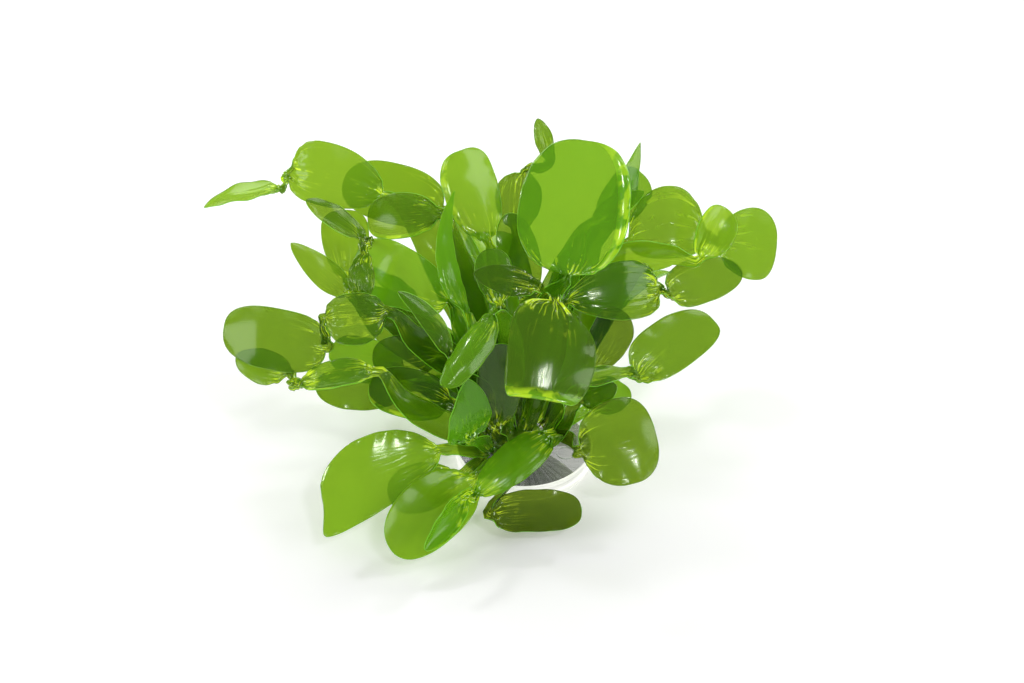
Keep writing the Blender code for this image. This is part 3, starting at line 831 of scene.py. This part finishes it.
def lobe_end(lobe, u):
    """Where a lobe starts (u is 0) or ends (u is 1), with its slope and its face there."""
    along, side, face, length = lobe_frame(lobe)
    hump_slope = 4 * (1 - 2 * u)
    slope = along * length + (face * lobe.bend + side * lobe.sweep) * hump_slope
    return np.asarray(lobe.tip if u else lobe.base, float), unit(slope), face


def joining_frames(start, end, count):
    """The frames between two ends, each a point, a slope and a face."""
    gap = np.linalg.norm(end[0] - start[0])
    frames = []
    for step in range(1, count + 1):
        u = step / (count + 1)
        point, slope = hermite(start[0], start[1] * gap, end[0], end[1] * gap, u)
        face = turned(start[2], start[1], slope) * (1 - u) + turned(end[2], end[1], slope) * u
        frames.append((point, slope, face))
    return frames


def stem_knots(frond):
    """The points that a stem passes, each with a slope and a face."""
    direction = unit(frond.leaves)
    start = np.asarray(KNOT_CENTRE) + direction * (np.asarray(KNOT_RADII) * (1 + KNOT_LUMPS))
    start = start + direction * TOUCH_GAP
    first = lobe_end(frond.lobes[0], 0)
    points = [start, *(np.asarray(point, float) for point in frond.stem), first[0]]
    slopes = [direction, *(unit(after - before) for before, after in zip(points, points[2:]))]
    knots = [first]
    for point, slope in zip(points[-2::-1], slopes[::-1]):
        knots.append((point, slope, turned(knots[-1][2], knots[-1][1], slope)))
    return knots[::-1]


class Row(NamedTuple):
    """One row across a strip: its middle, its axes, its half widths and what bends it."""

    middle: np.ndarray
    along: np.ndarray
    face: np.ndarray
    left: float
    right: float
    lean: float
    cup: float
    share: float
    neck: float
    roll_left: float
    roll_right: float


def stem_frames(frond):
    """The frames of a stem, from the knot to the first lobe."""
    knots = stem_knots(frond)
    frames = [knots[0]]
    for start, end in zip(knots, knots[1:]):
        count = int(np.linalg.norm(end[0] - start[0]) / STEM_ROW)
        frames += [*joining_frames(start, end, count), end]
    return frames


def stem_rows(frond):
    """The rows of a stem: narrow at the knot, a slim leaf on the way, narrow at the first lobe."""
    frames = stem_frames(frond)
    gone = distances([frame[0] for frame in frames])
    rows = []
    for (middle, along, face), distance in zip(frames[:-1], gone):
        place = (distance / gone[-1]) ** STEM_LEAF_PLACE
        leaf = STEM_LEAF_SHARE * gone[-1] * math.sin(math.pi * place)
        grown = min(1.0, distance / ROOT_LENGTH)
        least = ROOT_HALF_WIDTH + (STEM_HALF_WIDTH - ROOT_HALF_WIDTH) * grown
        half = math.hypot(leaf, least)
        neck = min(distance, gone[-1] - distance)
        rows.append(ribbon_row(middle, along, face, half, leaf / (leaf + least), neck))
    return rows


def ribbon_row(middle, along, face, half, share, neck):
    """A row of a stem or a neck, which is a narrow folded ribbon."""
    face = unit(face - along * (face @ along))
    fold = STEM_FOLD * half
    return Row(middle, along, face, half, half, 0.0, fold, share, neck, 0.0, 0.0)


def lobe_rows(lobe, is_last):
    """The rows of one lobe, closer together near its ends."""
    along, side, face, length = lobe_frame(lobe)
    offset, spaces = (0.0, LOBE_ROWS - 1) if is_last else (0.5, LOBE_ROWS)
    rows = []
    for step in range(LOBE_ROWS):
        u = 0.5 - 0.5 * math.cos(math.pi * (step + offset) / spaces)
        hump = 4 * u * (1 - u)
        middle = lobe.base + along * length * u + face * lobe.bend * hump + side * lobe.sweep * hump
        share = superellipse(u, lobe)
        lean = (lobe.lean + lobe.fan * (2 * u - 1)) * share
        closed = is_last and u > lobe.widest
        least = (TIP_HALF_WIDTH if closed else STEM_HALF_WIDTH) * (1 - share)
        left, right = math.hypot(lobe.left * share, least), math.hypot(lobe.right * share, least)
        fold = 0.0 if closed else STEM_FOLD * STEM_HALF_WIDTH * (1 - share) ** 2
        neck = u * length if is_last else min(u, 1 - u) * length
        cup, rolls = lobe.cup * share + fold, (lobe.roll_left * share, lobe.roll_right * share)
        rows.append(Row(middle, along, face, left, right, lean, cup, share, neck, *rolls))
    return rows


def frond_rows(frond):
    """All rows of one strip, from the knot to the last lobe's tip."""
    rows = stem_rows(frond)
    for number, lobe in enumerate(frond.lobes):
        if number:
            start, end = lobe_end(frond.lobes[number - 1], 1), lobe_end(lobe, 0)
            count = int(np.linalg.norm(end[0] - start[0]) / NECK_ROW)
            for frame in joining_frames(start, end, count):
                rows.append(ribbon_row(*frame, STEM_HALF_WIDTH, 0.0, 0.0))
        rows += lobe_rows(lobe, number == len(frond.lobes) - 1)
    return rows


def pleat_heights(rows, across, random):
    """How far the pleats lift each point, as a share of their depth: sharp near a neck, then gone."""
    neck = np.array([row.neck for row in rows])[:, None]
    heights = np.zeros((len(rows), len(across)))
    for _ in range(PLEATS):
        place, width = random.uniform(*PLEAT_PLACES), random.uniform(*PLEAT_WIDTHS)
        depth, reach = random.uniform(-1.0, 1.0), random.uniform(*PLEAT_REACHES)
        tent = np.clip(1 - np.abs(across[None, :] - place) / width, 0, None)
        heights += depth * tent * np.exp(-neck / reach)
    count, turn = random.uniform(*ZIGZAGS), random.uniform(0, math.tau)
    zigzag = np.arcsin(np.sin(math.tau * count * across / 2 + turn)) * 2 / math.pi
    return heights + ZIGZAG_SHARE * zigzag[None, :] * np.exp(-neck / ZIGZAG_REACH)


def ripple_heights(rows, across, gone, random):
    """Soft waves over the lobes, as a share of their height."""
    share = np.array([row.share for row in rows])[:, None]
    turns, across = math.tau * gone[:, None], across[None, :]
    heights = np.zeros((len(rows), across.size))
    for _ in range(WAVES):
        wave, lie = random.uniform(*WAVE_LENGTHS), random.uniform(-1.0, 1.0)
        heights += np.sin(turns / wave + math.tau * lie * across / 2 + random.uniform(0, 6))
    edge = np.sin(turns / random.uniform(*EDGE_WAVE_LENGTHS) + random.uniform(0, 6)) * across**4
    return share * (heights / WAVES + EDGE_WAVE_SHARE * edge)


def crumple_shifts(rows, across, gone, seed):
    """How crumples move each point along its side and its face, as a share of their height."""
    shifts = np.zeros((len(rows), len(across), 2))
    for number, row in enumerate(rows):
        size = math.exp(-row.neck / CRUMPLE_REACH)
        if size < LEAST_CRUMPLE:
            continue
        for column, place in enumerate(across):
            out = place * (row.right if place > 0 else row.left)
            spot = Vector((out, gone[number], seed)) / CRUMPLE_CELL
            coarse = (noise.voronoi(spot)[0][0] - CELL_MIDDLE) * COARSE_CRUMPLE
            fine = (noise.voronoi(spot * FINE_CELLS)[0][0] - CELL_MIDDLE) * FINE_CRUMPLE
            sideways = noise.noise(spot + Vector((31.0, 0.0, 0.0))) * SIDE_CRUMPLE
            shifts[number, column] = size * sideways, size * (coarse + fine)
    return shifts


def rolled(reach, half, turn):
    """How far out and up a point at this reach lies when the edge rolls by this turn."""
    start = ROLL_START * half
    if abs(turn) < 1e-6 or reach <= start:
        return reach, 0.0
    radius = (half - start) / turn
    angle = (reach - start) / radius
    return start + radius * math.sin(angle), radius * (1 - math.cos(angle))


def edge_fold(row, place):
    """How much of a point lies in a rolled edge: 1 from a little way into the roll."""
    turn = row.roll_right if place > 0 else row.roll_left
    return abs(turn) / FULL_FOLD * min(1.0, max(0.0, abs(place) - ROLL_START) / ROLL_CREASE)


def strip_points(rows, across, lift, shifts):
    """The points of a strip's middle sheet, in millimetres."""
    points = np.zeros((len(rows), len(across), 3))
    for number, row in enumerate(rows):
        side = np.cross(row.along, row.face)
        for column, place in enumerate(across):
            half, turn = (row.right, row.roll_right) if place > 0 else (row.left, row.roll_left)
            out, up = rolled(abs(place) * half, half, math.radians(turn))
            out = math.copysign(out, place)
            points[number, column] = (
                row.middle
                + (side + row.along * row.lean) * out
                + side * shifts[number, column, 0]
                + row.face * (row.cup * place**2 + lift[number, column] + shifts[number, column, 1] + up)
            )
    return points


def roll_tip(points, lobe):
    """Rolls the end of the last lobe about a line across it and returns how folded each point is."""
    if not lobe.roll_tip:
        return 0.0
    along, _, face, length = lobe_frame(lobe)
    gone = (points[-LOBE_ROWS:] - np.asarray(lobe.base, float)) @ along
    start = TIP_ROLL_START * length
    past = np.clip(gone - start, 0, None)
    radius = (length - start) / math.radians(lobe.roll_tip)
    shift = radius * np.sin(past / radius) - past
    rise = radius * (1 - np.cos(past / radius))
    points[-LOBE_ROWS:] += shift[..., None] * along + rise[..., None] * face
    return np.clip(past / TIP_CREASE, 0, 1)


def strip_mesh(name, frond, film):
    """The middle sheet of one strip, with the numbers that its material reads."""
    random = np.random.default_rng(sum(map(ord, name)))
    across = np.linspace(-1, 1, film.columns)
    rows = frond_rows(frond)
    gone = distances([row.middle for row in rows])
    pleats = pleat_heights(rows, across, random) * film.pleat_depth
    ripples = ripple_heights(rows, across, gone, random) * film.ripple
    seed = random.uniform(0, 10)
    shifts = crumple_shifts(rows, across, gone, seed * 7) * film.crumple / MM
    points = strip_points(rows, across, (pleats + ripples) / MM, shifts)
    fold = np.array([[edge_fold(row, place) for place in across] for row in rows])
    fold[-LOBE_ROWS:] += roll_tip(points, frond.lobes[-1])
    width = film.columns
    faces = [
        (first + step, first + step + width, first + step + width + 1, first + step + 1)
        for first in range(0, (len(rows) - 1) * width, width)
        for step in range(width - 1)
    ]
    mesh = bpy.data.meshes.new(name)
    mesh.from_pydata((points * MM).reshape(-1, 3).tolist(), [], faces)
    half = np.array([np.where(across > 0, row.right, row.left) for row in rows])
    columns = {
        "across": np.broadcast_to(across, half.shape),
        "from_neck": np.broadcast_to(np.array([row.neck for row in rows])[:, None] * MM, half.shape),
        "rim": (1 - np.abs(across)) * half * MM,
        "tint": np.full(half.shape, frond.tint),
        # The strip's painted shade, which darkens it for the shadow inside and under the plant.
        "shade": np.full(half.shape, frond.shade),
        "seed": np.full(half.shape, seed),
        "fold": np.clip(fold, 0, 1),
    }
    for key, values in columns.items():
        attribute = mesh.attributes.new(key, "FLOAT", "POINT")
        attribute.data.foreach_set("value", np.ascontiguousarray(values, np.float32).ravel())
    return mesh


def place_piece(name, mesh, slot, *nodes):
    """Puts a piece in the scene, where it rides on the plant and stands for its nodes."""
    obj = bpy.data.objects.new(name, mesh)
    bpy.context.scene.collection.objects.link(obj)
    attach(obj, BODY)
    if nodes:
        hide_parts(*nodes)
    return obj


def shared_material(name, make, *settings):
    """The material of this name, made the first time that it is asked for."""
    return bpy.data.materials.get(name) or make(*settings)


class FrondBuilder:
    """Builds one group of strips."""

    group = {}
    bl_options = {"REGISTER", "UNDO"}

    def execute(self, context):
        film = context.scene.sea_lettuce_film
        for name, frond in self.group.items():
            mesh = strip_mesh(name + "_film", frond, film)
            mesh.shade_smooth()
            mesh.materials.append(shared_material("dyed_film", film_material, film))
            mesh.materials.append(shared_material("film_edge", edge_material, film))
            piece = place_piece(name + "_film", mesh, "green_film", name + "_frond")
            thick = piece.modifiers.new("film", "SOLIDIFY")
            thick.thickness = film.thickness
            thick.offset = 0.0
            thick.material_offset_rim = 1
        return {"FINISHED"}


class SEALETTUCE_OT_front_fronds(FrondBuilder, bpy.types.Operator):
    """Builds the low strips in front"""

    bl_idname = "sealettuce.front_fronds"
    bl_label = "Front fronds"
    group = FRONT


class SEALETTUCE_OT_centre_fronds(FrondBuilder, bpy.types.Operator):
    """Builds the big middle sheet and its neighbours"""

    bl_idname = "sealettuce.centre_fronds"
    bl_label = "Centre fronds"
    group = CENTRE


class SEALETTUCE_OT_right_fronds(FrondBuilder, bpy.types.Operator):
    """Builds the strips on the right"""

    bl_idname = "sealettuce.right_fronds"
    bl_label = "Right fronds"
    group = RIGHT


class SEALETTUCE_OT_top_fronds(FrondBuilder, bpy.types.Operator):
    """Builds the strips at the top"""

    bl_idname = "sealettuce.top_fronds"
    bl_label = "Top fronds"
    group = TOP


class SEALETTUCE_OT_upper_left_fronds(FrondBuilder, bpy.types.Operator):
    """Builds the strips at the upper left"""

    bl_idname = "sealettuce.upper_left_fronds"
    bl_label = "Upper left fronds"
    group = UPPER_LEFT


class SEALETTUCE_OT_left_fronds(FrondBuilder, bpy.types.Operator):
    """Builds the strips on the left"""

    bl_idname = "sealettuce.left_fronds"
    bl_label = "Left fronds"
    group = LEFT


class SEALETTUCE_OT_back_fronds(FrondBuilder, bpy.types.Operator):
    """Builds the strips at the back"""

    bl_idname = "sealettuce.back_fronds"
    bl_label = "Back fronds"
    group = BACK


class SEALETTUCE_OT_base_disc(bpy.types.Operator):
    """Builds the clear disc, with its pale sawn edge in painted glow and its underside in painted shade and
    light
    """

    bl_idname = "sealettuce.base_disc"
    bl_label = "Base disc"

    def execute(self, context):
        base = context.scene.sea_lettuce_base
        broken = base.broken_edge
        profile = (
            (0.0, 0.0),
            (base.radius - broken, 0.0),
            (base.radius, broken),
            (base.radius, base.height - broken),
            (base.radius - broken, base.height),
            (0.0, base.height),
        )
        disc = bmesh.new()
        points = [disc.verts.new((out, 0.0, up)) for out, up in profile]
        edges = [disc.edges.new(pair) for pair in zip(points, points[1:])]
        bmesh.ops.spin(disc, geom=[*points, *edges], axis=(0, 0, 1), angle=math.tau, steps=DISC_STEPS)
        bmesh.ops.remove_doubles(disc, verts=disc.verts, dist=1e-6)
        bmesh.ops.recalc_face_normals(disc, faces=disc.faces)
        for face in disc.faces:
            tilt = face.normal.z
            # The underside gets painted shade and light.
            face.material_index = POLISHED if tilt > 0.9 else PAINTED_UNDERSIDE if tilt < -0.9 else SAWN
            face.smooth = abs(tilt) < 0.1
        mesh = bpy.data.meshes.new("acrylic_disc")
        disc.to_mesh(mesh)
        disc.free()
        mesh.materials.append(shared_material("polished_acrylic", acrylic_material, base))
        mesh.materials.append(shared_material("sawn_acrylic", sawn_material, base))
        mesh.materials.append(shared_material("frosted_acrylic", painted_underside_material))
        place_piece("acrylic_disc", mesh, "clear_acrylic", "base_disc")
        return {"FINISHED"}


class SEALETTUCE_OT_glue_ring(bpy.types.Operator):
    """Builds the ring of dried glue on the disc"""

    bl_idname = "sealettuce.glue_ring"
    bl_label = "Glue ring"

    def execute(self, context):
        base = context.scene.sea_lettuce_base
        bpy.ops.mesh.primitive_torus_add(
            major_radius=base.ring_radius,
            minor_radius=RING_THICKNESS,
            major_segments=64,
            minor_segments=10,
            location=(*base.ring_place[:2], base.height + RING_THICKNESS * RING_RISE),
        )
        ring = context.object
        ring.data.transform(ring.matrix_world)
        ring.matrix_world.identity()
        for vertex in ring.data.vertices:
            vertex.co.z = base.height + (vertex.co.z - base.height) * RING_FLATNESS
        ring.data.shade_smooth()
        mesh = ring.data
        bpy.data.objects.remove(ring)
        mesh.materials.append(shared_material("dried_glue", glue_material))
        place_piece("glue_ring", mesh, "clear_acrylic")
        return {"FINISHED"}


class SEALETTUCE_OT_root_knot(bpy.types.Operator):
    """Builds the melted knot that the strips start from"""

    bl_idname = "sealettuce.root_knot"
    bl_label = "Root knot"

    def execute(self, context):
        film = context.scene.sea_lettuce_film
        knot = bmesh.new()
        bmesh.ops.create_uvsphere(knot, u_segments=96, v_segments=64, radius=1.0)
        centre = Vector(KNOT_CENTRE)
        for vertex in knot.verts:
            way = vertex.co.normalized()
            fold = abs(noise.noise(Vector((way.x, way.y, way.z * 0.35)) * 5.0))
            crumple = noise.noise(way * 14.0)
            lump = 0.93 + 0.12 * fold + 0.03 * crumple
            spread = Vector(way[axis] * KNOT_RADII[axis] * lump for axis in range(3))
            spread.z = max(spread.z, 0.0)
            vertex.co = (centre + spread) * MM
        bmesh.ops.dissolve_degenerate(knot, dist=1e-7, edges=knot.edges)
        mesh = bpy.data.meshes.new("melted_knot")
        knot.to_mesh(mesh)
        knot.free()
        mesh.shade_smooth()
        mesh.materials.append(shared_material("melted_lump", knot_material, film))
        place_piece("melted_knot", mesh, "melted_film", "root_knot")
        return {"FINISHED"}


def add_area_light(name, place, size, power):
    """Adds a soft rectangular light, aimed at the middle of the plant."""
    light = bpy.data.lights.new(name, "AREA")
    light.shape = "RECTANGLE"
    light.size, light.size_y = size
    light.energy = power
    obj = bpy.data.objects.new(name, light)
    obj.location = place
    obj.rotation_euler = (Vector(LIT_POINT) - Vector(place)).to_track_quat("-Z", "Y").to_euler()
    bpy.context.scene.collection.objects.link(obj)


class SEALETTUCE_OT_stage(bpy.types.Operator):
    """Builds the floor, the light and the camera"""

    bl_idname = "sealettuce.stage"
    bl_label = "Stage"

    def execute(self, context):
        stage = context.scene.sea_lettuce_stage
        bpy.ops.mesh.primitive_plane_add(size=stage.floor_size, location=(0, 0, 0))
        floor = context.object
        floor.name = floor.data.name = "floor"
        floor.data.materials.append(shared_material("pale_floor", floor_material, stage))
        world = bpy.data.worlds.new("studio")
        world.use_nodes = True
        sky = world.node_tree.nodes["Background"].inputs
        sky["Color"].default_value = (1.0, 1.0, 1.0, 1.0)
        sky["Strength"].default_value = stage.world
        context.scene.world = world
        for name, (place, size, power) in LIGHTS.items():
            add_area_light(name, place, size, getattr(stage, power))
        camera = bpy.data.cameras.new("camera")
        camera.lens = stage.lens
        camera.sensor_width = SENSOR_WIDTH
        camera.clip_start = 0.01
        view = bpy.data.objects.new("camera", camera)
        view.location = stage.camera_place
        view.rotation_euler = (math.radians(90) - stage.camera_pitch, 0.0, 0.0)
        context.scene.collection.objects.link(view)
        context.scene.camera = view
        context.scene.view_settings.view_transform = "Standard"
        context.scene.cycles.transparent_max_bounces = 40
        return {"FINISHED"}


OPERATORS = (
    SEALETTUCE_OT_base_disc,
    SEALETTUCE_OT_glue_ring,
    SEALETTUCE_OT_root_knot,
    SEALETTUCE_OT_front_fronds,
    SEALETTUCE_OT_centre_fronds,
    SEALETTUCE_OT_right_fronds,
    SEALETTUCE_OT_top_fronds,
    SEALETTUCE_OT_upper_left_fronds,
    SEALETTUCE_OT_left_fronds,
    SEALETTUCE_OT_back_fronds,
    SEALETTUCE_OT_stage,
)


class SEALETTUCE_PT_sidebar(bpy.types.Panel):
    """Lists what builds the plant"""

    bl_idname = "SEALETTUCE_PT_sidebar"
    bl_label = "Sea Lettuce"
    bl_space_type = "VIEW_3D"
    bl_region_type = "UI"
    bl_category = "Sea Lettuce"

    def draw(self, context):
        for operator in OPERATORS:
            self.layout.operator(operator.bl_idname)


SETTINGS = {
    "sea_lettuce_film": FilmSettings,
    "sea_lettuce_base": BaseSettings,
    "sea_lettuce_stage": StageSettings,
}


def register():
    """Registers the settings, the operators and the panel."""
    for name, group in SETTINGS.items():
        bpy.utils.register_class(group)
        setattr(bpy.types.Scene, name, PointerProperty(type=group))
    for operator in OPERATORS:
        bpy.utils.register_class(operator)
    bpy.utils.register_class(SEALETTUCE_PT_sidebar)


def unregister():
    """Removes the panel, the operators and the settings."""
    bpy.utils.unregister_class(SEALETTUCE_PT_sidebar)
    for operator in reversed(OPERATORS):
        bpy.utils.unregister_class(operator)
    for name, group in reversed(SETTINGS.items()):
        delattr(bpy.types.Scene, name)
        bpy.utils.unregister_class(group)


def main():
    """Builds the whole plant and its stage."""
    register()
    for operator in OPERATORS:
        group, name = operator.bl_idname.split(".")
        getattr(getattr(bpy.ops, group), name)()


if __name__ == "__main__":
    main()
